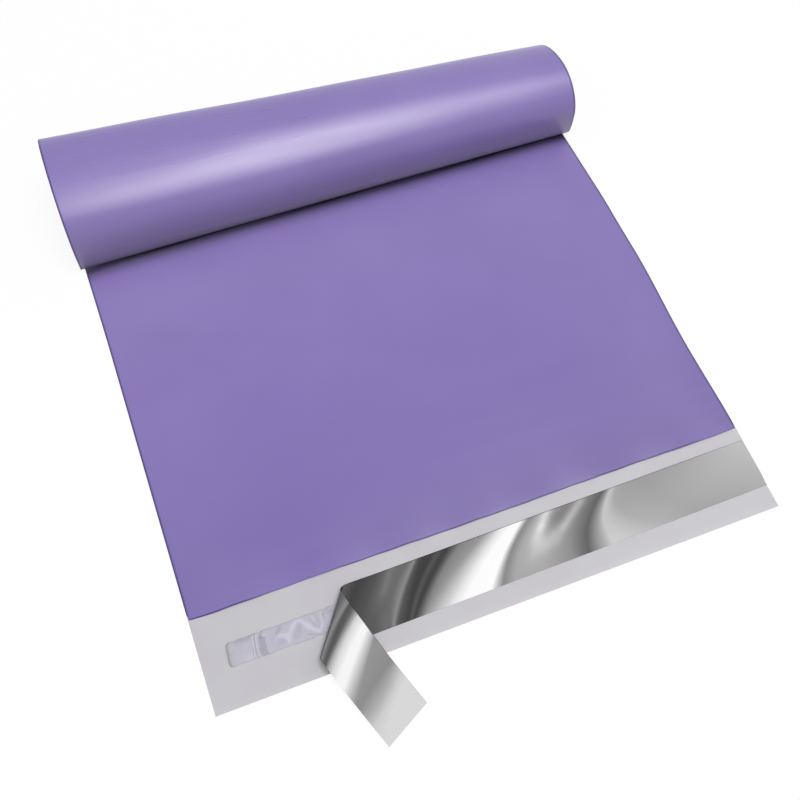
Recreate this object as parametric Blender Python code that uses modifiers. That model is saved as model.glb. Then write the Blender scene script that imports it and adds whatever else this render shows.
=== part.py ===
"""A poly mailer bag lying on its back, face up.

The closed end is curled over and rests on the front panel. The silver release liner is still on
the right part of the adhesive strip, and its left end is peeled back over the flap's free edge.

Lengths are in metres. X runs across the bag and Z is up from the surface that the bag lies on.
Y is measured from the flap's free edge towards the curl, in the frame of an empty on that edge.
"""

import math

import bmesh
import bpy
import numpy as np

# Film: one web, folded at the bag's bottom and welded along both sides
BAG_WIDTH = 0.254
BODY_LENGTH = 0.3344
FLAP_LENGTH = 0.0396
FILM = 0.00008
BACK_LENGTH = FLAP_LENGTH + BODY_LENGTH
REST_CENTRE = 0.120

# Room between the two panels: slack in the body, and a mouth that stands a little open
SLACK = 0.0006
SLACK_EDGE = 0.015
MOUTH_GAPE = 0.0003
MOUTH_REACH = 0.020
WELD_MERGE = 0.000005

# Curl: its section at the left and right weld, as heights and distances from the flap's edge
LIFT_OFF = (0.2380, 0.2510)
REAR_Y, REAR_Z = (0.2726, 0.2638), (0.0252, 0.0125)
TOP_Y, TOP_Z = (0.2563, 0.2358), (0.0411, 0.0352)
FRONT_Y, FRONT_Z = (0.2170, 0.2169), (0.0080, 0.0171)
FOOT_Y, FOOT_Z = (0.2170, 0.2202), (0.0014, 0.0012)
FOOT_TURN = (math.radians(35), math.radians(90))
TUCK = (0.0, 0.0173)

# The side edges also run askew: both stray to the left in the curl, and flare at the bottom fold
ASKEW_START = 0.170
STRAY = (0.0004, 0.0040)
FLARE = (0.0024, 0.0008)

# Mesh stations across the web and along one panel
COLUMN_INSETS = (0.0, 0.0025, 0.008, 0.022, 0.065)
BODY_ROW_STEP = 0.032
CURL_ROWS_FROM = 0.205
CURL_ROW_STEP = 0.003
ARC_POINTS = 40

# Adhesive strip: a clear band of hot-melt glue on the inner face of the flap
ADHESIVE_WIDTH = 0.009
ADHESIVE_Y = 0.0208
ADHESIVE_END_INSET = 0.0112
ADHESIVE_THICKNESS = 0.0001
ADHESIVE_CORNER = 0.0012
SEAT_GAP = 0.0003

# Release liner: a foil ribbon as wide as the bag is, folded back on a slanting line
LINER_WIDTH = 0.0230
LINER_Y = 0.0212
LINER_SLOPE = 0.0075
LINER_THICKNESS = 0.00006
LINER_CUT_SHORT = (0.0005, 0.0035)
FOLD_ANGLE = math.radians(54)
FOLD_OUTERMOST = -0.0705
FOLD_RADIUS = 0.0026
TAIL_DIP = math.radians(14)
TAIL_STRAIGHT = 0.010
TAIL_END_HEIGHT = 0.00006
LINER_COLUMNS = 7

# Colours of the finishes, as linear RGB, with roughness and metallic value
PURPLE_FILM = ((0.255, 0.190, 0.460), 0.38, 0.0)
CLEAR_GLUE = ((0.52, 0.50, 0.62), 0.15, 0.0)
SILVER_FOIL = ((0.80, 0.80, 0.80), 0.18, 1.0)


def finish(name, look):
    """A plain Principled material from a colour, a roughness and a metallic value."""
    colour, roughness, metallic = look
    material = bpy.data.materials.new(name)
    material.use_nodes = True
    shader = material.node_tree.nodes["Principled BSDF"]
    shader.inputs["Base Color"].default_value = (*colour, 1.0)
    shader.inputs["Roughness"].default_value = roughness
    shader.inputs["Metallic"].default_value = metallic
    return material


def formed_sheet(name, columns, rows, form, thickness):
    """A flat grid of columns by rows, formed by form(column, row), with a wall of that thickness."""
    bm = bmesh.new()
    bmesh.ops.create_grid(bm, x_segments=len(columns) - 1, y_segments=len(rows) - 1, size=1.0)
    grid = np.array([v.co[:2] for v in bm.verts])
    i = np.rint((grid[:, 0] + 1) / 2 * (len(columns) - 1)).astype(int)
    j = np.rint((grid[:, 1] + 1) / 2 * (len(rows) - 1)).astype(int)
    for vertex, place in zip(bm.verts, form(columns[i], rows[j])):
        vertex.co = place
    bmesh.ops.remove_doubles(bm, verts=bm.verts, dist=WELD_MERGE)
    mesh = bpy.data.meshes.new(name)
    bm.to_mesh(mesh)
    bm.free()
    mesh.shade_smooth()
    mesh.set_sharp_from_angle(angle=math.radians(40))
    sheet = bpy.data.objects.new(name, mesh)
    wall = sheet.modifiers.new("wall", "SOLIDIFY")
    wall.thickness = thickness
    wall.offset = 0.0
    return sheet


def quarter(start, end, upright_first, turn=math.pi / 2):
    """Points of a quarter ellipse, or its first stretch up to turn, from start to end."""
    a = np.linspace(0, turn, ARC_POINTS)
    slow = (1 - np.cos(a)) / (1 - math.cos(turn))
    fast = np.sin(a) / math.sin(turn)
    across, up = (slow, fast) if upright_first else (fast, slow)
    (y0, z0), (y1, z1) = start, end
    return np.stack([y0 + (y1 - y0) * across, z0 + (z1 - z0) * up], axis=1)


def back_panel_section(u):
    """Section of the back panel, u of the way from the left weld to the right one.

    It lies flat up to the lift-off, then follows quarter ellipses to its rearmost, highest and
    foremost points, and comes down to the foot, past which the rest is tucked under the curl.
    Returns the places (y, z) along it and their distances from the flap's free edge.
    """
    def mix(ends):
        return (1 - u) * ends[0] + u * ends[1]

    lift = (mix(LIFT_OFF), 0.0)
    rear = (mix(REAR_Y), mix(REAR_Z))
    top = (mix(TOP_Y), mix(TOP_Z))
    front = (mix(FRONT_Y), mix(FRONT_Z))
    foot = (mix(FOOT_Y), mix(FOOT_Z))
    runs = [
        np.array([(0.0, 0.0)]),
        quarter(lift, rear, upright_first=False),
        quarter(rear, top, upright_first=True)[1:],
        quarter(top, front, upright_first=False)[1:],
        quarter(front, foot, upright_first=True, turn=mix(FOOT_TURN))[1:],
        np.array([(foot[0] + mix(TUCK) + FILM, foot[1])]),
    ]
    points = np.concatenate(runs)
    steps = np.linalg.norm(np.diff(points, axis=0), axis=1)
    return points, np.concatenate([[0.0], np.cumsum(steps)])


def panel_gap(x, s):
    """Distance between the two panels' films: none at the welds, widest at the mouth."""
    inset = BAG_WIDTH / 2 - np.abs(x)
    from_weld = 1 - (1 - np.clip(inset / SLACK_EDGE, 0, 1)) ** 2
    at_mouth = np.clip(1 - (s - FLAP_LENGTH) / MOUTH_REACH, 0, 1) ** 2
    middle = np.cos(np.pi * x / BAG_WIDTH)
    return SLACK * from_weld + MOUTH_GAPE * at_mouth * middle


def edge_shift(x, s):
    """How far the film lies askew, to the right: the stray and the flare of the side edges."""
    u = x / BAG_WIDTH + 0.5
    run = np.clip((s - ASKEW_START) / (BACK_LENGTH - ASKEW_START), 0, 1)
    stray = ((1 - u) * STRAY[0] + u * STRAY[1]) * np.sin(np.pi * run) ** 1.2
    return (u * FLARE[1] - (1 - u) * FLARE[0]) * run**2 * (3 - 2 * run) - stray


def bag_film():
    """The web: flap and back panel, the fold at the bag's bottom, and the front panel."""
    half = [BAG_WIDTH / 2 - inset for inset in COLUMN_INSETS]
    columns = np.array([-x for x in half] + [0.0] + half[::-1])
    body = np.arange(FLAP_LENGTH, CURL_ROWS_FROM, BODY_ROW_STEP)
    curl_rows = round((BACK_LENGTH - CURL_ROWS_FROM) / CURL_ROW_STEP)
    curl = np.linspace(CURL_ROWS_FROM, BACK_LENGTH, curl_rows + 1)
    panel = np.concatenate([body, curl])
    # Each row is a distance along the panel and a level: 0 on the back, 1 on the front
    back = [(s, 0.0) for s in (0.0, FLAP_LENGTH / 2, *panel)]
    front = [(s, 1.0) for s in panel[::-1]]
    rows = np.array(back + [(BACK_LENGTH, 0.5)] + front)

    def form(x, row):
        s, level = row[:, 0], row[:, 1]
        y, z, heading = np.empty_like(s), np.empty_like(s), np.empty_like(s)
        for column in columns:
            here = x == column
            points, along = back_panel_section(column / BAG_WIDTH + 0.5)
            stretch = (along[-1] - CURL_ROWS_FROM) / (BACK_LENGTH - CURL_ROWS_FROM)
            place = (s + np.clip(s - CURL_ROWS_FROM, 0, None) * (stretch - 1))[here]
            turned = np.unwrap(np.arctan2(*np.gradient(points, along, axis=0).T[::-1]))
            y[here] = np.interp(place, along, points[:, 0])
            z[here] = np.interp(place, along, points[:, 1])
            heading[here] = np.interp(place, along, turned)
        gap = panel_gap(x, s)
        inward, onward = gap * level, gap / 2 * np.sin(np.pi * level)
        return np.stack([
            x + edge_shift(x, s),
            y - inward * np.sin(heading) + onward * np.cos(heading),
            z + inward * np.cos(heading) + onward * np.sin(heading) + FILM / 2,
        ], axis=1)

    return formed_sheet("bag_film", columns, rows, form, FILM)


def adhesive_strip():
    """A thin flat band with rounded corners, along the middle of the flap."""
    length = BAG_WIDTH - 2 * ADHESIVE_END_INSET
    bm = bmesh.new()
    bmesh.ops.create_cube(bm, size=1.0)
    bmesh.ops.scale(bm, verts=bm.verts, vec=(length, ADHESIVE_WIDTH, ADHESIVE_THICKNESS))
    upright = [e for e in bm.edges if abs(e.verts[0].co.z - e.verts[1].co.z) > ADHESIVE_THICKNESS / 2]
    bmesh.ops.bevel(bm, geom=upright, offset=ADHESIVE_CORNER, segments=4, profile=0.5, affect="EDGES")
    mesh = bpy.data.meshes.new("adhesive_strip")
    bm.to_mesh(mesh)
    bm.free()
    strip = bpy.data.objects.new("adhesive_strip", mesh)
    strip.location = (0, ADHESIVE_Y, FILM + SEAT_GAP + ADHESIVE_THICKNESS / 2)
    return strip


def tail_section(run, z_flat):
    """Where the liner goes past its lift-off line: distance back from that line, and height.

    run is the length of liner past the line. It rolls over in a half turn and a little more,
    comes down straight, and eases out level on the surface that the bag lies on.
    """
    z_top = z_flat + FOLD_RADIUS * (1 + math.cos(TAIL_DIP))
    drop_left = z_top - TAIL_STRAIGHT * math.sin(TAIL_DIP) - TAIL_END_HEIGHT
    ease_radius = drop_left / (1 - math.cos(TAIL_DIP))
    bend_run = (math.pi + TAIL_DIP) * FOLD_RADIUS
    straight_end = bend_run + TAIL_STRAIGHT
    ease_end = straight_end + TAIL_DIP * ease_radius

    bend = np.clip(run, 0, bend_run) / FOLD_RADIUS
    straight = np.clip(run - bend_run, 0, TAIL_STRAIGHT)
    ease = np.clip(run - straight_end, 0, ease_end - straight_end) / ease_radius
    level = np.clip(run - ease_end, 0, None)
    back = -FOLD_RADIUS * np.sin(bend) + straight * math.cos(TAIL_DIP) + level
    back = back + ease_radius * (math.sin(TAIL_DIP) - np.sin(TAIL_DIP - ease))
    height = z_flat + FOLD_RADIUS * (1 - np.cos(bend)) - straight * math.sin(TAIL_DIP)
    return back, height - ease_radius * (np.cos(TAIL_DIP - ease) - math.cos(TAIL_DIP))


def release_liner():
    """The ribbon, rolled about lines along the slanting fold and otherwise flat."""
    along = np.array([math.cos(FOLD_ANGLE), math.sin(FOLD_ANGLE)])
    across = np.array([along[1], -along[0]])
    lift_line = FOLD_OUTERMOST + FOLD_RADIUS
    z_flat = FILM + 2 * SEAT_GAP + ADHESIVE_THICKNESS + LINER_THICKNESS / 2
    # Each row is where the ribbon's centre line is crossed, and how far the row leans from square
    lean = along[0] / along[1]
    bend_x = (lift_line - along[0] * -LINER_Y) / across[0]
    bend = bend_x - np.linspace(0, (math.pi + TAIL_DIP) * FOLD_RADIUS, 13) / across[0]
    end_x = -BAG_WIDTH / 2 + sum(LINER_CUT_SHORT) / 2
    end_lean = (LINER_CUT_SHORT[1] - LINER_CUT_SHORT[0]) / LINER_WIDTH
    tail = np.linspace(bend[-1], end_x, 12)[1:]
    ease = np.linspace(0, 1, len(tail) + 1)[1:]
    rows = [(BAG_WIDTH / 2, 0.0), (BAG_WIDTH / 4, 0.0), (0.0, lean / 2), (bend_x + LINER_WIDTH / 2, lean)]
    rows += [(x, lean) for x in bend]
    rows += [(x, lean + (end_lean - lean) * e**2) for x, e in zip(tail, ease)]
    rows = np.array(rows)
    columns = np.linspace(-LINER_WIDTH / 2, LINER_WIDTH / 2, LINER_COLUMNS)

    def form(side, row):
        x = row[:, 0] + row[:, 1] * side
        y = LINER_Y + LINER_SLOPE * x + side
        u = x * across[0] + y * across[1]
        v = x * along[0] + y * along[1]
        back, height = tail_section(np.clip(lift_line - u, 0, None), z_flat)
        u = np.maximum(u, lift_line) + back
        return np.stack([u * across[0] + v * along[0], u * across[1] + v * along[1], height], axis=1)

    return formed_sheet("release_liner", columns, rows, form, LINER_THICKNESS)


def main():
    for item in list(bpy.data.objects):
        bpy.data.objects.remove(item, do_unlink=True)
    parts = bpy.data.collections.new("poly_mailer_bag")
    bpy.context.scene.collection.children.link(parts)
    flap_edge = bpy.data.objects.new("flap_edge", None)
    flap_edge.location = (0, -REST_CENTRE, 0)
    parts.objects.link(flap_edge)
    pieces = (
        (bag_film(), finish("purple_film", PURPLE_FILM)),
        (adhesive_strip(), finish("clear_glue", CLEAR_GLUE)),
        (release_liner(), finish("silver_foil", SILVER_FOIL)),
    )
    for piece, material in pieces:
        piece.data.materials.append(material)
        piece.parent = flap_edge
        parts.objects.link(piece)


main()
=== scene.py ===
"""A purple poly mailer bag that lies face up, with its closed end curled over onto the front panel.

The silver release liner is still on the right part of the adhesive strip, and its left end is
peeled back over the flap's free edge. Lengths are in metres.
"""

import math

import bmesh
import bpy
import numpy as np
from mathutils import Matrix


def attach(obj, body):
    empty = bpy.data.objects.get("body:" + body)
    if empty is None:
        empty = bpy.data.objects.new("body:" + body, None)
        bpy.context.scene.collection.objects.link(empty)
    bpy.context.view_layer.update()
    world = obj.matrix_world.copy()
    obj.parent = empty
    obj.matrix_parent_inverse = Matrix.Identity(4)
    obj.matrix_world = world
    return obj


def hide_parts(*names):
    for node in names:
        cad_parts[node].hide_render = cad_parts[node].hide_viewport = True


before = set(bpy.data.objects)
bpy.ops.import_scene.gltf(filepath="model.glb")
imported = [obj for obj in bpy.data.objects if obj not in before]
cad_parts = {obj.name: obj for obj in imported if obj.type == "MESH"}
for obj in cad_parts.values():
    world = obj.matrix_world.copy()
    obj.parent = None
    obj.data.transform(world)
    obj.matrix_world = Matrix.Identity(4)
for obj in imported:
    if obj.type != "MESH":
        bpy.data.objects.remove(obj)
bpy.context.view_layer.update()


# Bag film
# One web of polyethylene film, purple outside and light grey inside. It is folded at the bag's
# bottom and welded along both sides, and the back panel runs on past the mouth as the flap. The
# closed end is curled over, and its folded edge rests on the front panel.
FLAP_EDGE_Y = -0.120
BAG_WIDTH = 0.254
FLAP_LENGTH = 0.0396
FILM = 0.00008

# The curl's section, as heights and distances from the flap's edge, at the left and right weld
LIFT_OFF = (0.2380, 0.2510)
REAR_Y, REAR_Z = (0.2726, 0.2638), (0.0252, 0.0125)
TOP_Y, TOP_Z = (0.2563, 0.2358), (0.0411, 0.0352)
FRONT_Y, FRONT_Z = (0.2170, 0.2169), (0.0080, 0.0171)
FOOT_Y, FOOT_Z = (0.2170, 0.2196), (0.0014, 0.0012)
FOOT_TURN = (math.radians(35), math.radians(90))
TUCK = (0.0, 0.0173)

# Rows along the film, and the columns next to a weld, as distances from it
FLAP_ROWS, BODY_ROWS, FOOT_ROWS, TUCK_ROWS, FOLD_ROWS = 15, 70, 10, 8, 6
NEAR_WELD = (0, 0.0006, 0.0014, 0.0028, 0.005)
INNER_START, INNER_COLUMNS = 0.008, 48

# The room between the two panels: even slack, and lips at the mouth, which stand up from a pinch
SLACK, SLACK_EDGE = 0.0006, 0.015
MOUTH_REACH, MOUTH_PINCH = 0.022, 0.00040
LIP_HEIGHT, LIP_SPACING, LIP_START, LIP_SWAY = 0.00035, 0.033, 0.119, 0.004

# The mouth's cut edge reaches a little way onto the flap and is slightly wavy
CUT_OVERHANG, CUT_REACH = 0.00040, 0.008

# Sine waves in the film: height, rates across and along the film, and phase
SWELLS = ((0.00012, 41, 23, 1.2), (0.000084, 73, -31, 0), (0.00006, 19, 0, 2))
RELIEF = ((0.00006, 61, 48, 0.4), (0.000048, 27, -85, 2.1), (0.000036, 105, 20, 1))
CUT_WAVES = ((0.00018, 47, 0, -1.6), (0.00005, 170, 0, 1), (0.00006, 410, 0, 2))

# Both side edges run askew: they stray to the left in the curl and flare at the bottom fold, each
# by one amount at the left weld and another at the right. The right edge also wanders
ASKEW_START = 0.170
STRAY, FLARE = (0.0004, 0.0040), (-0.0024, 0.0008)
WANDER, WANDER_SHIFT, WANDER_START, WANDER_LENGTH = 0.0005, 0.00015, 0.042, 0.0925

# The front panel's web coordinates are this much further along than the back panel's
FRONT_ON_WEB = 1.0


def mix(pair, share):
    """The value that share of the way from the first of a pair to the second."""
    return pair[0] + (pair[1] - pair[0]) * share


def ease(x, off, full):
    """0 at off and beyond, 1 at full and beyond, and the cubic 3t^2 - 2t^3 in between."""
    t = np.clip((x - off) / (full - off), 0, 1)
    return t * t * (3 - 2 * t)


def waves(terms, x, s):
    """The sum of sine waves over places x across and s along the film."""
    return sum(height * np.sin(x * across + s * along + phase) for height, across, along, phase in terms)


def quarter(start, end, upright_first, turn=math.pi / 2, rows=24):
    """Rows of points along a quarter ellipse from start to end, for every column at once.

    With a from 0 to turn, one coordinate goes as 1 - cos a and the other as sin a, and both are
    scaled to arrive. The first row is left out, because it ends the stretch before.
    """
    a = np.linspace(0, 1, rows + 1)[1:, None] * turn
    slow = (1 - np.cos(a)) / (1 - np.cos(turn))
    fast = np.sin(a) / np.sin(turn)
    across, up = (slow, fast) if upright_first else (fast, slow)
    return start[0] + (end[0] - start[0]) * across, start[1] + (end[1] - start[1]) * up


def back_panel(u):
    """The back panel's section for columns u, from 0 at the left weld to 1 at the right one.

    Flat up to the lift-off, then quarter ellipses through the rearmost, highest and foremost
    points, the first stretch of one down to the foot, and the length tucked under the curl.
    Returns y, z and the length s along the film, each with a row for each station.
    """
    level = np.zeros_like(u)
    lift = mix(LIFT_OFF, u), level
    rear = mix(REAR_Y, u), mix(REAR_Z, u)
    top = mix(TOP_Y, u), mix(TOP_Z, u)
    front = mix(FRONT_Y, u), mix(FRONT_Z, u)
    foot = mix(FOOT_Y, u), mix(FOOT_Z, u)
    flap = np.linspace(0, FLAP_LENGTH, FLAP_ROWS)[:, None] + level
    body = FLAP_LENGTH + (lift[0] - FLAP_LENGTH) * np.linspace(0, 1, BODY_ROWS + 1)[1:, None]
    tuck = foot[0] + (mix(TUCK, u) + FILM) * np.linspace(0, 1, TUCK_ROWS + 1)[1:, None]
    runs = [
        (flap, flap * 0),
        (body, body * 0),
        quarter(lift, rear, upright_first=False),
        quarter(rear, top, upright_first=True),
        quarter(top, front, upright_first=False),
        quarter(front, foot, upright_first=True, turn=mix(FOOT_TURN, u), rows=FOOT_ROWS),
        (tuck, tuck * 0 + foot[1]),
    ]
    y, z = (np.concatenate(part) for part in zip(*runs))
    steps = np.hypot(np.diff(y, axis=0), np.diff(z, axis=0))
    return y, z, np.concatenate([level[None], np.cumsum(steps, axis=0)])


def from_weld(x):
    """0 at a weld, rising to 1 at the slack's edge as 1 minus the square of the way still to go."""
    return 1 - (1 - np.clip((BAG_WIDTH / 2 - np.abs(x)) / SLACK_EDGE, 0, 1)) ** 2


def panel_gap(x, s):
    """The room between the panels, which is nothing at the welds.

    It is the slack, with shallow waves where the front panel lies open. At the mouth it is
    pinched, fading with the square of the way in, and a raised cosine across lifts the lips.
    """
    lip = 0.5 - 0.5 * np.cos(2 * np.pi * (x + LIP_START + LIP_SWAY * np.sin(x * 40)) / LIP_SPACING)
    at_mouth = np.clip(1 - (s - FLAP_LENGTH) / MOUTH_REACH, 0, 1) ** 2
    in_the_open = ease(s, 0.22, 0.19)
    gap = SLACK + waves(RELIEF, x, s) * in_the_open - at_mouth * (MOUTH_PINCH - LIP_HEIGHT * lip)
    return gap * from_weld(x)


def edge_drift(x, s, length):
    """How far to the right the film lies of its straight columns.

    The stray in the curl is a half sine wave to the power 1.2, the flare is the cubic 3t^2 - 2t^3
    up to the bottom fold, and the wander is a cosine wave that fades to the left as u^6.
    """
    u = x / BAG_WIDTH + 0.5
    run = np.clip((s - ASKEW_START) / (length - ASKEW_START), 0, 1)
    stray = mix(STRAY, u) * np.sin(np.pi * run) ** 1.2
    flare = mix(FLARE, u) * run**2 * (3 - 2 * run)
    wander = np.cos(2 * np.pi * (s - WANDER_START) / WANDER_LENGTH) * WANDER + WANDER_SHIFT
    return flare - stray + wander * u**6 * ease(s, 0, 0.035) * ease(s, 0.185, 0.135)


def bag_web():
    """Points and web coordinates of the film's middle surface, and the paint on it.

    The back panel is laid out first, then some rows round the bottom fold, then the front panel
    back to the mouth. The front panel is the back panel moved inwards by the gap between them,
    which is nothing at the welds, so that merging the doubles closes the bag's sides.
    """
    inset = np.concatenate([NEAR_WELD, np.linspace(INNER_START, BAG_WIDTH / 2, INNER_COLUMNS)])
    x = np.concatenate([inset, BAG_WIDTH - inset[-2::-1]]) - BAG_WIDTH / 2
    y, z, s = back_panel(x / BAG_WIDTH + 0.5)
    length = s[-1]
    heading = np.unwrap(np.arctan2(np.gradient(z, axis=0), np.gradient(y, axis=0)), axis=0)

    # The rolled film isn't quite even: long shallow swells, none where it lies on the table
    swell = waves(SWELLS, x, s) * ease(s, 0.245, 0.29) * ease(length - s, 0.01, 0.05)
    y, z = y - swell * np.sin(heading), z + swell * np.cos(heading)

    gap = panel_gap(x, s)
    round_fold = np.linspace(0, np.pi, FOLD_ROWS + 2)[1:-1, None]
    rows = y.shape[0]
    back = np.arange(rows)
    bottom = np.full(FOLD_ROWS, rows - 1)
    front = back[:FLAP_ROWS - 2:-1]
    take = np.concatenate([back, bottom, front])
    inward = np.concatenate([gap * 0, gap[-1] * (1 - np.cos(round_fold)) / 2, gap[front]])
    onward = np.concatenate([gap * 0, gap[-1] * np.sin(round_fold) / 2, gap[front] * 0])
    y, z, s, heading = y[take], z[take], s[take], heading[take]
    side = np.where(np.arange(len(take)) < rows + FOLD_ROWS // 2, 0.0, 1.0)[:, None]

    at_cut = side * ease(s, FLAP_LENGTH + CUT_REACH, FLAP_LENGTH) * from_weld(x)
    points = np.stack([
        x + edge_drift(x, s, length),
        y - inward * np.sin(heading) + onward * np.cos(heading)
        + (waves(CUT_WAVES, x, s) - CUT_OVERHANG) * at_cut + FLAP_EDGE_Y,
        z + inward * np.cos(heading) + onward * np.sin(heading) + FILM / 2,
    ], axis=-1)
    web = np.stack([x + 0 * s + BAG_WIDTH / 2, s + side * FRONT_ON_WEB], axis=-1)
    return points, web, film_paint(x, s, z, side)


# Painted streaks on the front panel where it is faintly creased, one of shade and one of sheen:
# strength, a place across and along the film that it passes, its slope and width, and the places
# across where it is off and full
SHADE_AND_SHEEN_STREAKS = (
    (-0.020, 0.007, 0.178, -0.41, 0.0045, 0.19, 0.10),
    (0.022, 0.100, 0.068, -0.03, 0.0050, 0.08, 0.14),
)


def film_paint(x, s, z, side):
    """Four values at each point of the film, by name. Side is 1 on the front panel.

    Tone multiplies the colour, and is mostly painted light and shade. It falls towards the mouth
    and the right as painted shade, and a painted streak of shade or sheen is a Gaussian of the
    distance from its line. The flap is painted lighter at its right end and has a painted shadow
    beside the liner's roll. Painted shade gathers where the curl rests, and falls off as an
    exponential of the distance. Deep and low are shares of two other purples, low a painted greyer
    shade on the curl's lower front, and dull is added to the roughness on top of the curl: glossier
    at the left end, duller at the right one.
    """
    u = x / BAG_WIDTH + 0.5
    # Painted shade: the front panel darkens towards the mouth, towards the right before the curl, and in
    # a band just inside the mouth
    shade_to_mouth = ease(s, 0.135, 0.035)
    shade_to_right = ease(x, -0.05, 0.12) * ease(s, 0.215, 0.185)
    shade_by_mouth = ease(s, 0.067, 0.042) * ease(x, -0.075, -0.02) * ease(x, 0.120, 0.085)
    tone = 1.02 - 0.085 * shade_to_mouth - 0.02 * shade_to_right - 0.075 * shade_by_mouth
    # Each streak is painted: the dark one is shade, the light one sheen
    for strength, passes_x, passes_s, slope, width, off, full in SHADE_AND_SHEEN_STREAKS:
        away = s - passes_s - slope * (x + BAG_WIDTH / 2 - passes_x)
        tone = tone + strength * np.exp(-((away / width) ** 2)) * ease(x + BAG_WIDTH / 2, off, full)

    on_flap = (1 - side) * ease(s, 0.0405, 0.0396)
    # Painted light and shade on the flap: lighter towards its right end, and a painted shadow beside the
    # liner's roll
    roll_shadow = np.exp(-((x + 0.082) ** 2 + (s - 0.005) ** 2) / 0.009**2)
    flap_light_and_shade = 1.02 + 0.035 * ease(x, -0.02, 0.12) - 0.085 * roll_shadow
    tone = mix((tone, flap_light_and_shade), on_flap)

    in_curl = (1 - side) * ease(s, 0.27, 0.30)
    # Painted shade where the curl rests: on the front panel beside its foot, and low down on the curl
    from_rest = np.abs(mix(FOOT_Y, u) - s)
    shade_before_curl = side * np.exp(-((from_rest / 0.0049) ** 1.8))
    shade_under_curl = in_curl * np.exp(-np.clip(z - 0.001, 0, None) / 0.0014)
    tone = tone * (1 - 0.97 * np.clip(shade_before_curl + 0.85 * shade_under_curl, 0, 1))

    in_middle = 1 - 0.55 * ease(np.abs(x + 0.01), 0.06, 0.125)
    deep = side * np.clip((0.187 - s) / 0.14, 0, 1) * in_middle
    # Low: how far round the curl's lower front a painted greyer shade reaches
    low = in_curl * ease(z, 0.030, 0.004)
    top_end = mix((0.334, 0.326), u)
    on_top = (1 - side) * ease(s, 0.300, 0.310) * ease(s, top_end, top_end - 0.008)
    dull = on_top * mix((-0.07, 0.08), ease(u, 0.25, 0.85))
    return {"tone": tone, "deep": deep, "low": low, "dull": dull}


def sheet_object(name, points, web, paint, flipped=False):
    """A mesh object from a grid of points, with the grid's web coordinates as its UV map.

    Each face joins grid points (row, column), (row, column + 1) and the two of the next row. Paint
    holds a number for each point under each name, which the sheet's materials read by that name.
    """
    rows, columns = points.shape[:2]
    corner = (np.arange(rows - 1)[:, None] * columns + np.arange(columns - 1)).ravel()
    around = [0, columns, columns + 1, 1] if flipped else [0, 1, columns + 1, columns]
    faces = corner[:, None] + np.array(around)
    mesh = bpy.data.meshes.new(name)
    mesh.from_pydata(points.reshape(-1, 3), [], faces)
    mesh.uv_layers.new(name="web").uv.foreach_set("vector", web.reshape(-1, 2)[faces].ravel())
    for kind, values in paint.items():
        mesh.attributes.new(kind, "FLOAT", "POINT").data.foreach_set("value", np.ravel(values))
    mesh.shade_smooth()
    sheet = bpy.data.objects.new(name, mesh)
    bpy.context.scene.collection.objects.link(sheet)
    return sheet


def merge_doubles(sheet, distance):
    """Joins the points of a mesh that lie on each other, as at a weld."""
    bm = bmesh.new()
    bm.from_mesh(sheet.data)
    bmesh.ops.remove_doubles(bm, verts=bm.verts, dist=distance)
    bm.to_mesh(sheet.data)
    bm.free()


def give_thickness(sheet, thickness, inner_slot=0):
    """A wall of that thickness about the surface, with its inner side in a material slot.

    The large faces then set the shading, so that no false sheen runs along the cut edges.
    """
    wall = sheet.modifiers.new("wall", "SOLIDIFY")
    wall.thickness = thickness
    wall.offset = 0
    wall.material_offset = inner_slot
    sheet.modifiers.new("even_shading", "WEIGHTED_NORMAL")


class Shade:
    """A value that varies over a surface: a shader socket that Python's arithmetic works on.

    +, - and * with another Shade or a plain number, on either side, add a Math node.
    """

    def __init__(self, finish, socket):
        self.finish, self.socket = finish, socket

    def maths(self, operation, first, second):
        return self.finish.node("Math", {"operation": operation}, {0: first, 1: second})

    def __add__(self, other):
        return self.maths("ADD", self, other)

    def __sub__(self, other):
        return self.maths("SUBTRACT", self, other)

    def __rsub__(self, other):
        return self.maths("SUBTRACT", other, self)

    def __mul__(self, other):
        return self.maths("MULTIPLY", self, other)

    __radd__, __rmul__ = __add__, __mul__

    def step(self, low, high):
        """0 where this is at low, 1 where it is at high, and smooth in between."""
        sockets = {"Value": self, "From Min": low, "From Max": high}
        return self.finish.node("MapRange", {"interpolation_type": "SMOOTHSTEP"}, sockets)


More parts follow.
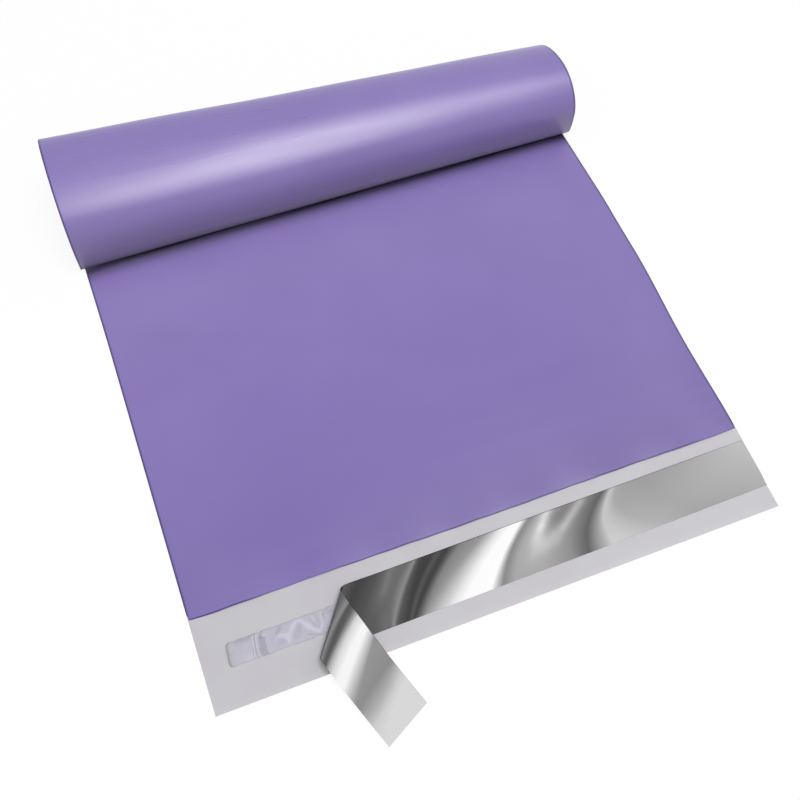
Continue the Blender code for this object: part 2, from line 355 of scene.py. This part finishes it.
class Finish:
    """A material of one Principled shader, with fixed values on its sockets, and its nodes."""

    def __init__(self, name, fixed):
        self.material = bpy.data.materials.new(name)
        self.material.use_nodes = True
        self.nodes = self.material.node_tree.nodes
        self.links = self.material.node_tree.links
        self.shader = self.nodes["Principled BSDF"]
        self.feed(self.shader, fixed)
        self.place = self.node("TexCoord", {}, {}, output=3)

    def feed(self, node, sockets):
        """Sets sockets to plain values, or links them to the Shades given."""
        for key, value in sockets.items():
            if isinstance(value, Shade):
                self.links.new(value.socket, node.inputs[key])
            else:
                node.inputs[key].default_value = value

    def node(self, kind, settings, sockets, output=0):
        """One node of a kind: its settings first, then its sockets. Returns one output."""
        node = self.nodes.new("ShaderNode" + kind)
        for key, value in settings.items():
            setattr(node, key, value)
        self.feed(node, sockets)
        return Shade(self, node.outputs[output])

    def paint(self, name):
        """The number that the mesh holds under that name."""
        return self.node("Attribute", {"attribute_name": name}, {}, output=2)

    def noise(self, vector, scale, detail=2):
        """A cloudy pattern of that many clouds to the metre."""
        return self.node("TexNoise", {}, {"Vector": vector, "Scale": scale, "Detail": detail})

    def stretched_noise(self, vector, *scale):
        """A fine-grained pattern with its own scale for each direction."""
        stretched = self.node("Mapping", {}, {"Vector": vector, "Scale": scale})
        return self.noise(stretched, 1, detail=3)

    def blend(self, share, first, second):
        """A colour that share of the way from the first to the second."""
        sockets = {0: share, 6: first, 7: second}
        return self.node("Mix", {"data_type": "RGBA"}, sockets, output=2)

    def tint(self, colour, tone):
        """A colour times a grey tone."""
        settings = {"data_type": "RGBA", "blend_type": "MULTIPLY", "clamp_result": True}
        return self.node("Mix", settings, {0: 1.0, 6: colour, 7: tone}, output=2)

    def bump(self, height, distance, strength):
        """Bump on the shader's normal, for relief finer than the mesh."""
        sockets = {"Height": height, "Distance": distance, "Strength": strength}
        self.feed(self.shader, {"Normal": self.node("Bump", {}, sockets)})


def linear(*levels):
    """Linear colour of screen levels from 0 to 255, by the sRGB curve."""
    c = np.array(levels) / 255
    return tuple(np.where(c <= 0.04045, c / 12.92, ((c + 0.055) / 1.055) ** 2.4)) + (1.0,)


def purple_finish():
    """Satin purple film with a faint mottling, and with fine lines that run along the curl.

    It has a painted greyer shade low down at the curl's front, is deeper towards the mouth, and is
    dark along the welds. A painted shadow darkens the mouth's cut edge, and hardly shows in two
    places. The gloss has soft wisps.
    """
    film = Finish("purple_film", {"Specular IOR Level": 0.6})
    web = film.node("UVMap", {"uv_map": "web"}, {})
    across = film.node("SeparateXYZ", {}, {"Vector": web})
    along = film.node("SeparateXYZ", {}, {"Vector": web}, output=1)
    low = film.paint("low")

    mottle = film.noise(film.place, 24).step(0.3, 0.7)
    colour = film.blend(mottle, linear(135, 117, 183), linear(139, 121, 187))
    # Painted shade: a greyer purple low down on the curl's front
    colour = film.blend(low * 0.8, colour, linear(141, 129, 162))
    colour = film.blend(film.paint("deep"), colour, linear(120, 100, 175))

    from_side = film.node("Math", {"operation": "PINGPONG"}, {0: across, 1: BAG_WIDTH / 2})
    welded = 1 - from_side.step(0.0004, 0.0012)
    colour = film.blend(welded * 0.8, colour, linear(72, 52, 134))

    # A painted shadow: a dark line along the mouth's cut edge, which hardly shows in two places
    past_cut = (along - FRONT_ON_WEB).step(FLAP_LENGTH + 0.0002, FLAP_LENGTH + 0.0008)
    cut_shadow = (1 - past_cut) * along.step(FRONT_ON_WEB - 0.1, FRONT_ON_WEB)
    clear_left = across.step(0.022, 0.040) * (1 - across.step(0.055, 0.072))
    clear_right = across.step(0.225, 0.240)
    cut_shadow = cut_shadow * (1 - (clear_left + clear_right) * 0.7)
    colour = film.blend(cut_shadow, colour, linear(36, 4, 120))

    lines = film.stretched_noise(web, 7, 420, 1)
    tone = film.paint("tone") * (1 + (lines - 0.5) * low * 0.4)
    wisps = film.stretched_noise(web, 9, 210, 1).step(0.25, 0.75)
    film.feed(film.shader, {
        "Base Color": film.tint(colour, tone),
        "Roughness": 0.285 + wisps * 0.07 + film.paint("dull"),
    })
    film.bump(lines * 0.5 + film.noise(film.place, 700) * 0.5, 0.00003, strength=0.5)
    return film.material


def grey_finish():
    """The web's inner side: the light grey layer, with a faint warm and cool mottling."""
    film = Finish("grey_inner_layer", {"Roughness": 0.5, "Specular IOR Level": 0.4})
    mottle = film.noise(film.place, 38).step(0.35, 0.65)
    grey = film.blend(mottle, linear(199, 198, 204), linear(197, 193, 201))
    # Its tone carries the painted light and shade of the flap
    film.feed(film.shader, {"Base Color": film.tint(grey, film.paint("tone"))})
    film.bump(film.noise(film.place, 600), 0.00003, strength=0.4)
    return film.material


bag_points, bag_on_web, bag_paint = bag_web()
bag = sheet_object("bag_film_skin", bag_points, bag_on_web, bag_paint, flipped=True)
merge_doubles(bag, 0.000005)
bag.data.materials.append(purple_finish())
bag.data.materials.append(grey_finish())
give_thickness(bag, FILM, inner_slot=1)
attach(bag, "root")
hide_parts("bag_film")


# Adhesive strip
# A band of clear hot-melt glue laid along the flap. Where the liner has come away it is left
# with fine creases across it near its end and soft tongue-shaped wrinkles further in.
GLUE_HALF = 0.1162
GLUE_WIDTH = 0.0098
GLUE_Y = 0.0207
GLUE_THICKNESS = 0.0001
GLUE_CROWN = 0.00004
GLUE_EDGE_DROP = 0.00027
GLUE_GAP = 0.0003
MARK_RELIEF = 0.00016

# The glue's long edges aren't quite straight: height, rate along the band, rate across, phase
GLUE_EDGE_WAVES = ((0.00010, 420, 0, 0), (0.00008, 1130, 0, 0))

# The creased part has the finer columns: its length, their number, and that of the plain ones
CREASED_LENGTH, CREASED_COLUMNS, PLAIN_COLUMNS = 0.052, 401, 130

# Wrinkles in the glue, each with a painted highlight or painted shade, in mm from the band's left
# end and from its middle line: start, end, width, and how much lighter or darker it is there than
# the plain glue
GLUE_WRINKLE_SHADING = (
    (4.0, 4.2, 9.5, 4.2, 1.2, -0.28), (7.0, -3.4, 9.4, -3.6, 1.5, 0.16),
    (10.0, -4.2, 10.6, -0.4, 0.20, -0.34), (10.7, -4.0, 11.2, 3.8, 0.24, 0.30),
    (11.2, -4.6, 11.8, 4.2, 0.22, -0.48), (12.0, -4.6, 12.5, 4.4, 0.30, 0.22),
    (13.5, -4.6, 14.1, 2.2, 0.85, -0.44), (15.1, -4.6, 15.4, 1.9, 0.62, -0.42),
    (14.2, 2.4, 14.5, 4.4, 0.50, -0.40), (15.4, 2.6, 16.9, 3.0, 0.40, 0.14),
    (19.8, -0.9, 20.3, 0.3, 0.20, 0.45), (21.0, 0.0, 21.4, 0.8, 0.14, 0.30),
    (21.2, 2.2, 22.8, 3.6, 0.75, -0.34), (23.0, 3.4, 23.1, 3.5, 0.16, 0.50),
    (22.0, -2.4, 23.2, -1.4, 1.00, -0.20), (22.2, 0.4, 24.4, -0.4, 0.95, 0.30),
    (24.2, -0.8, 25.2, -2.8, 0.90, 0.33), (25.2, -1.0, 27.8, 2.2, 1.00, 0.29),
    (27.8, 2.2, 29.8, 4.0, 0.65, 0.30), (28.2, -2.2, 31.0, 1.8, 1.10, -0.20),
    (28.7, -1.4, 28.9, -0.8, 0.40, 0.18), (31.2, 3.4, 34.0, 0.2, 1.05, 0.34),
    (34.0, 0.2, 37.2, -3.4, 0.85, 0.36), (37.6, -3.5, 39.6, -1.2, 0.50, 0.36),
    (39.6, -1.2, 40.0, 3.8, 0.40, 0.22), (35.2, 2.6, 36.4, -0.8, 0.70, -0.14),
    (36.0, 3.8, 36.8, 1.4, 0.40, 0.22), (38.0, 3.4, 38.2, -1.6, 0.50, -0.06),
    (40.8, 3.2, 41.0, 1.4, 0.45, -0.28), (41.6, 1.6, 41.7, 1.7, 0.25, 0.45),
    (42.4, 3.4, 46.4, 2.6, 1.30, -0.18), (33.0, -3.0, 37.4, -4.4, 0.30, -0.26),
)


def strokes(marks, place, side):
    """The sum of soft strokes: each is its strength times a Gaussian of the distance from a line.

    A mark gives its line's start and end, its width and its strength, in the units of place and
    side. The nearest point on the line is the foot of the perpendicular, kept between its ends.
    """
    total = 0 * place
    for x0, y0, x1, y1, width, strength in marks:
        reach = (x1 - x0) ** 2 + (y1 - y0) ** 2
        share = np.clip(((place - x0) * (x1 - x0) + (side - y0) * (y1 - y0)) / reach, 0, 1)
        away = (place - x0 - share * (x1 - x0)) ** 2 + (side - y0 - share * (y1 - y0)) ** 2
        total = total + strength * np.exp(-away / width**2)
    return total


def glue_band():
    """Points, web coordinates and paint of a flat band with rounded ends and a creased surface.

    Height is a low crown, 1 minus the fourth power of the distance from the middle, less a drop
    at the edges by its eighth power, with a ridge along each light mark and a furrow along each
    dark one. Tone is the same marks as the light catches them: 0 dark, 1 light. Thin is 1 where
    the flap's grey shows through.
    """
    creased = np.linspace(0, CREASED_LENGTH, CREASED_COLUMNS)
    plain = np.linspace(CREASED_LENGTH + 0.001, 2 * GLUE_HALF - 0.0005, PLAIN_COLUMNS)
    along = np.concatenate([creased, plain, [2 * GLUE_HALF]])[:, None]
    side = np.linspace(-1, 1, 61)[None, :]
    lean = 1 - along / (2 * GLUE_HALF)
    end = GLUE_HALF - 0.0012 * np.abs(side) ** 7 - 0.0004 * side * lean
    x = (along / GLUE_HALF - 1) * end
    y = GLUE_Y + side * GLUE_WIDTH / 2 + waves(GLUE_EDGE_WAVES, x, 0) * side

    near, up = along * 1000 + 0 * side, side * GLUE_WIDTH * 500 + 0 * along
    marks = strokes(GLUE_WRINKLE_SHADING, near, up)
    height = GLUE_CROWN * (1 - side**4) + MARK_RELIEF * marks * (1 - side**6)
    z = FILM + GLUE_GAP + GLUE_THICKNESS / 2 + height - GLUE_EDGE_DROP * side**8

    # The cut end has a dark rim of painted shade with a duller strip behind it, and the upper edge is
    # rough. The glue is thin at the cut end and along both long edges
    end_rim_shade = ease(near, 1.3, 0.5) * ease(np.abs(side), 1.0, 0.86)
    rough_edge = 0.5 + 0.5 * np.sin(near * 0.9 + 1) * np.sin(near * 0.37)
    tone = 0.69 + marks - 0.42 * end_rim_shade - 0.08 * ease(near, 3.2, 0.9)
    tone = tone - 0.22 * ease(side, 0.84, 1.0) * rough_edge + 0.08 * ease(-side, 0.84, 1.0)
    thin = np.maximum(ease(near, 5.0, 1.8), 0.85 * ease(np.abs(side), 0.70, 1.0))

    points = np.stack([x, y + FLAP_EDGE_Y, z], axis=-1)
    web = np.stack([x, y - GLUE_Y], axis=-1)
    return points, web, {"tone": np.clip(tone, 0, 1), "thin": thin}


def glue_finish():
    """Glossy, slightly milky glue: lilac grey, with painted highlights on its wrinkles and painted shade
    beside them.

    Where it is thin it takes the plain grey of the flap.
    """
    glue = Finish("clear_glue", {"Specular IOR Level": 0.5})
    mottle = glue.noise(glue.place, 260, detail=3).step(0.3, 0.7)
    light = glue.paint("tone") * 0.94 + mottle * 0.06
    lilac = glue.blend(light, linear(150, 146, 158), linear(210, 207, 223))
    grey = glue.blend(light, linear(148, 147, 152), linear(209, 208, 215))
    glue.feed(glue.shader, {
        "Base Color": glue.blend(glue.paint("thin"), lilac, grey),
        "Roughness": 0.26 + mottle * 0.1,
    })
    return glue.material


glue_points, glue_on_web, glue_paint = glue_band()
glue = sheet_object("adhesive_band", glue_points, glue_on_web, glue_paint, flipped=True)
glue.data.materials.append(glue_finish())
give_thickness(glue, GLUE_THICKNESS)
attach(glue, "root")
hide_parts("adhesive_strip")


# Release liner
# A ribbon of silver-coated film as wide as the bag. Its right part still lies on the adhesive,
# a little wavy, and its left part rolls back on a slanting line over the flap's free edge.
LINER_WIDTH = 0.0230
LINER_Y = 0.0212
LINER_SLOPE = 0.0075
LINER_THICKNESS = 0.00006
LINER_FLAT_Z = FILM + 2 * GLUE_GAP + GLUE_THICKNESS + LINER_THICKNESS / 2
UPPER_TRIM = 0.00035
LOWER_SPREAD = 0.0006
EDGE_DROP = 0.00064

# The part on the adhesive lifts in long waves between these places across the bag
WAVE_HEIGHT, WAVE_START, WAVE_LENGTH = 0.0003, 0.006, 0.041
WAVY_LEFT, WAVY_RIGHT = (-0.055, -0.035), (0.085, 0.055)

# The fold, and the tail behind it, which slips, turns a little and dips down to the table
FOLD_ANGLE = math.radians(54)
FOLD_OUTERMOST = -0.0705
FOLD_RADIUS = 0.0026
TAIL_BEND_RUN = 0.008
TAIL_SLIP = 0.0012
TAIL_TURN = 0.055
TAIL_DIP = math.radians(14)
TAIL_STRAIGHT = 0.010
TAIL_NARROWING = 0.05


def rolled(run):
    """Distance back from the lift-off line, and height, for a run of liner past that line.

    A half turn and a little more, a straight slope down, and an arc that ends level on the table.
    """
    top = LINER_FLAT_Z + FOLD_RADIUS * (1 + math.cos(TAIL_DIP))
    drop = top - TAIL_STRAIGHT * math.sin(TAIL_DIP) - LINER_THICKNESS
    ease_radius = drop / (1 - math.cos(TAIL_DIP))
    bend_run = (math.pi + TAIL_DIP) * FOLD_RADIUS
    straight_end = bend_run + TAIL_STRAIGHT
    ease_end = straight_end + TAIL_DIP * ease_radius
    bend = np.clip(run, 0, bend_run) / FOLD_RADIUS
    straight = np.clip(run - bend_run, 0, TAIL_STRAIGHT)
    arc = np.clip(run - straight_end, 0, ease_end - straight_end) / ease_radius
    level = np.clip(run - ease_end, 0, None)
    back = -FOLD_RADIUS * np.sin(bend) + straight * math.cos(TAIL_DIP) + level
    back = back + ease_radius * (math.sin(TAIL_DIP) - np.sin(TAIL_DIP - arc))
    height = LINER_FLAT_Z + FOLD_RADIUS * (1 - np.cos(bend)) - straight * math.sin(TAIL_DIP)
    return back, height - ease_radius * (np.cos(TAIL_DIP - arc) - math.cos(TAIL_DIP))


def liner_ribbon():
    """The ribbon's points: a strip sheared to the fold's slant, rolled about lines along it.

    Both ends are cut nearly square. The flat part has long waves, a raised cosine, and its long
    edges droop onto the flap, the lower one a little spread. The roll is slightly conical, so
    the tail slips down along the fold and then turns to the right.
    """
    along = math.cos(FOLD_ANGLE), math.sin(FOLD_ANGLE)
    across = along[1], -along[0]
    lean = along[0] / along[1]
    lift_line = FOLD_OUTERMOST + FOLD_RADIUS
    band = np.linspace(BAG_WIDTH / 2, -BAG_WIDTH / 2, 721)[:, None]
    side = np.linspace(-LINER_WIDTH / 2, LINER_WIDTH / 2 - UPPER_TRIM, 33)[None, :]
    side = side * (1 - TAIL_NARROWING * ease(-band, 0.078, 0.125))
    squared = ease(band, 0.085, 0.127) + 0.78 * ease(-band, 0.110, 0.127)
    x = band + side * lean * (1 - squared)
    y = LINER_Y + LINER_SLOPE * x + side

    run = np.clip(lift_line - x * across[0] - y * across[1], 0, None)
    at_lower_edge = np.clip(-side / LINER_WIDTH * 2, 0, 1)
    spread = at_lower_edge * (1 - 0.45 * ease(x, 0.04, 0.127)) * ease(run, 0.006, 0)
    y = y - LOWER_SPREAD * spread
    u = x * across[0] + y * across[1]
    v = x * along[0] + y * along[1]
    run = np.clip(lift_line - u, 0, None)
    v = v - TAIL_SLIP * ease(run, 0, TAIL_BEND_RUN) + TAIL_TURN * np.clip(run - TAIL_BEND_RUN, 0, None)
    back, height = rolled(run)

    place = x - side * lean
    wave = 0.5 - 0.5 * np.cos(2 * np.pi * (place - WAVE_START) / WAVE_LENGTH)
    wave = wave * ease(place, *WAVY_LEFT) * ease(place, *WAVY_RIGHT) * (run == 0)
    droop = ease(np.abs(side) * 2 / LINER_WIDTH, 0.45, 0.95) * ease(u, lift_line, lift_line + 0.012)
    height = height + WAVE_HEIGHT * wave * (1 - droop) - EDGE_DROP * droop
    u = np.maximum(u, lift_line) + back
    points = np.stack([
        u * across[0] + v * along[0],
        u * across[1] + v * along[1] + FLAP_EDGE_Y,
        height,
    ], axis=-1)
    return points, np.stack([place, side + 0 * x], axis=-1)


# The painted reflections along the foil, a gradient of light and dark bands. Each stop is a line
# across the ribbon: its place in mm at the lower edge, the middle and the upper edge, and its grey
# level
REFLECTION_STOPS = (
    (-118, -118, -120, 216), (-112, -115, -117, 205), (-108, -111.5, -113.5, 175),
    (-102.5, -106, -110.5, 141), (-99.5, -99.5, -99.2, 149), (-97.3, -98, -98.5, 176),
    (-92, -93, -94.3, 246), (-88, -89.5, -92, 246), (-84.3, -85.6, -87.8, 214),
    (-82, -83.8, -86.6, 168), (-80.3, -82, -84.2, 96), (-79.5, -80.2, -82, 84),
    (-76.8, -78, -80.9, 142), (-75.6, -76.2, -77, 92), (-74.5, -74.5, -74.6, 172),
    (-72.3, -72.5, -72.5, 96), (-66, -66, -65, 68), (-57, -58, -57, 84),
    (-46.5, -51, -51.5, 109), (-44, -46, -44, 108), (-42, -41.8, -40.2, 140),
    (-40.2, -40, -38.8, 90), (-36.5, -37.2, -37, 70), (-35.8, -35.5, -32.6, 65),
    (-34, -33, -30, 88), (-32.4, -31, -27.2, 69), (-32, -29.4, -25.4, 69),
    (-28, -25.3, -20, 132), (-26, -19, -10, 154), (-14, -8.3, -1.6, 231),
    (-9, -4, 3, 252), (2, 4.3, 8.3, 253), (7, 7.7, 11.7, 138),
    (12.3, 12.5, 17, 170), (26, 27, 33, 171), (38, 36, 39.5, 146),
    (46, 44.3, 47.3, 102), (50.7, 48.3, 50.1, 150), (57, 51.5, 51.9, 199),
    (62, 54, 53, 194), (78, 60, 55.5, 172), (95, 80, 70, 167),
    (130, 130, 130, 187),
)
SHORTEST_RUN = 0.4

# Painted gleams and one painted shade between those lines: start and end in mm along and across
# the ribbon, width, and how many grey levels lighter
PAINTED_GLEAMS = (
    (21.5, 11, 20.3, 6, 2.7, 52), (20, 2, 20, -3, 4.0, 19), (19, 1.5, 25, -2.5, 3.0, 20),
    (28, 0.5, 30, -2, 2.8, 22), (36, 14, 29.5, 7, 6.5, -40), (37.5, 10, 32, 2.5, 2.7, 50),
    (-50.4, 11, -50.6, 3, 1.8, 10), (-51, -9, -50, -3, 3, -7),
)


def painted_foil_reflections(web):
    """The foil's painted reflections at each point: straight runs of grey from each stop's line to the
    next one.

    A stop's line is the parabola through its three places. The gleams are Gaussians of the
    distance from a short line, and a 1-2-1 average along the ribbon rounds the runs off.
    """
    place, side = web[..., 0] * 1000, web[..., 1] * 1000
    up = (side + 9) / 18
    lower, middle, upper = (1 - up) * (1 - 2 * up), 4 * up * (1 - up), up * (2 * up - 1)
    tone = 0 * place + REFLECTION_STOPS[0][3]
    for here, after in zip(REFLECTION_STOPS, REFLECTION_STOPS[1:]):
        start = here[0] * lower + here[1] * middle + here[2] * upper
        end = after[0] * lower + after[1] * middle + after[2] * upper
        share = np.clip((place - start) / np.maximum(end - start, SHORTEST_RUN), 0, 1)
        tone = tone + (after[3] - here[3]) * share
    tone = tone + (up - 0.5) * (32 * ease(place, 72, 128) - 14 * ease(place, 50, 60))
    tone = tone + strokes(PAINTED_GLEAMS, place, side)
    tone[1:-1] = (tone[:-2] + 2 * tone[1:-1] + tone[2:]) / 4
    return np.array(linear(*tone.ravel())[:-1])


def foil_finish():
    """Silver film whose base colour carries the painted reflections, with a fine grain in its gloss."""
    foil = Finish("silver_foil", {"Metallic": 1.0})
    grain = foil.noise(foil.place, 900)
    foil.feed(foil.shader, {"Base Color": foil.paint("tone"), "Roughness": 0.2 + grain * 0.08})
    foil.bump(foil.noise(foil.place, 260), 0.00004, strength=0.25)
    return foil.material


liner_points, liner_on_web = liner_ribbon()
# The foil's tone is its painted reflections
liner_paint = {"tone": painted_foil_reflections(liner_on_web)}
liner = sheet_object("release_liner_ribbon", liner_points, liner_on_web, liner_paint)
liner.data.materials.append(foil_finish())
give_thickness(liner, LINER_THICKNESS)
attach(liner, "root")
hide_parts("release_liner")


# Floor and light
# A plain white floor that keeps the bag's shadow, a white surround, and soft studio lamps.
FLOOR_REACH = 4.0
FLOOR_Z = -0.0002
WHITE = (1, 1, 1, 1)


def seen_by(tree, *kinds):
    """A socket that is 1 for the kinds of ray named: the highest of Light Path's outputs."""
    ray = tree.nodes.new("ShaderNodeLightPath")
    seen = ray.outputs[kinds[0]]
    for kind in kinds[1:]:
        either = tree.nodes.new("ShaderNodeMath")
        either.operation = "MAXIMUM"
        tree.links.new(seen, either.inputs[0])
        tree.links.new(ray.outputs[kind], either.inputs[1])
        seen = either.outputs[0]
    return seen


def mixed(tree, share, first, second, output):
    """Links an output's surface to that share of the way between two shader nodes."""
    both = tree.nodes.new("ShaderNodeMixShader")
    tree.links.new(share, both.inputs["Fac"])
    tree.links.new(first.outputs[0], both.inputs[1])
    tree.links.new(second.outputs[0], both.inputs[2])
    tree.links.new(both.outputs[0], output.inputs["Surface"])


def white_floor():
    """Mostly a white glow where it is looked at or mirrored, and diffuse white under shadows."""
    floor = bpy.data.materials.new("white_floor")
    floor.use_nodes = True
    tree = floor.node_tree
    tree.nodes.clear()
    diffuse = tree.nodes.new("ShaderNodeBsdfDiffuse")
    diffuse.inputs["Color"].default_value = (0.88, 0.88, 0.88, 1)
    glow = tree.nodes.new("ShaderNodeEmission")
    glow.inputs["Strength"].default_value = 1.035
    share = tree.nodes.new("ShaderNodeMath")
    share.operation = "MULTIPLY"
    share.inputs[1].default_value = 0.85
    tree.links.new(seen_by(tree, "Is Camera Ray", "Is Glossy Ray"), share.inputs[0])
    mixed(tree, share.outputs[0], diffuse, glow, tree.nodes.new("ShaderNodeOutputMaterial"))
    return floor


def white_surround():
    """A soft even light from all round, which is white where it is looked at."""
    world = bpy.data.worlds.new("surround")
    world.use_nodes = True
    tree = world.node_tree
    soft = tree.nodes["Background"]
    soft.inputs["Color"].default_value = WHITE
    soft.inputs["Strength"].default_value = 0.35
    white = tree.nodes.new("ShaderNodeBackground")
    white.inputs["Color"].default_value = WHITE
    white.inputs["Strength"].default_value = 1.0
    seen = seen_by(tree, "Is Camera Ray", "Is Glossy Ray", "Is Transmission Ray")
    mixed(tree, seen, soft, white, tree.nodes["World Output"])
    return world


def soft_lamp(name, place, target, size, power, turn=0.0):
    """A rectangular soft lamp at a place, facing a target and turned about its own axis."""
    lamp = bpy.data.lights.new(name, "AREA")
    lamp.shape = "RECTANGLE"
    lamp.size, lamp.size_y = size
    lamp.energy = power
    holder = bpy.data.objects.new(name, lamp)
    aim = np.array(target) - np.array(place)
    holder.location = place
    holder.rotation_euler = (
        math.acos(-aim[2] / np.linalg.norm(aim)), 0, math.atan2(-aim[0], aim[1])
    )
    holder.rotation_euler.rotate_axis("Z", turn)
    bpy.context.scene.collection.objects.link(holder)
    return holder


floor_mesh = bpy.data.meshes.new("floor")
floor_corners = [
    (x * FLOOR_REACH, y * FLOOR_REACH, FLOOR_Z) for x, y in ((-1, -1), (1, -1), (1, 1), (-1, 1))
]
floor_mesh.from_pydata(floor_corners, [], [(0, 1, 2, 3)])
floor_mesh.materials.append(white_floor())
floor = bpy.data.objects.new("floor", floor_mesh)
bpy.context.scene.collection.objects.link(floor)

bpy.context.scene.world = white_surround()

# One lamp gives the diffuse light, and the other only the long highlight along the curl
overhead = soft_lamp("overhead_lamp", (0.08, -0.12, 1.5), (0, 0.05, 0), (0.95, 0.95), 14.5)
overhead.visible_glossy = False
strip = soft_lamp("strip_lamp", (0.51, -0.40, 1.8), (2.5, 0.40, 0.03), (0.87, 2.35), 54, turn=0.30)
strip.data.color = (0.97, 1, 0.78)
strip.visible_diffuse = False
strip.visible_camera = False
strip.light_linking.receiver_collection = bpy.data.collections.new("gloss_on_film")
strip.light_linking.receiver_collection.objects.link(bag)


# Camera
# Above the flap's left end, looking down along the bag, where the photograph was taken.
eye = bpy.data.cameras.new("eye")
eye.sensor_width = 36
eye.lens = 44.27
camera = bpy.data.objects.new("camera", eye)
camera.location = (-0.09785, -0.19019, 0.39959)
camera.rotation_euler = [math.radians(turn) for turn in (25.778, -2.766, -20.815)]
bpy.context.scene.collection.objects.link(camera)
bpy.context.scene.camera = camera

bpy.context.scene.view_settings.view_transform = "Standard"
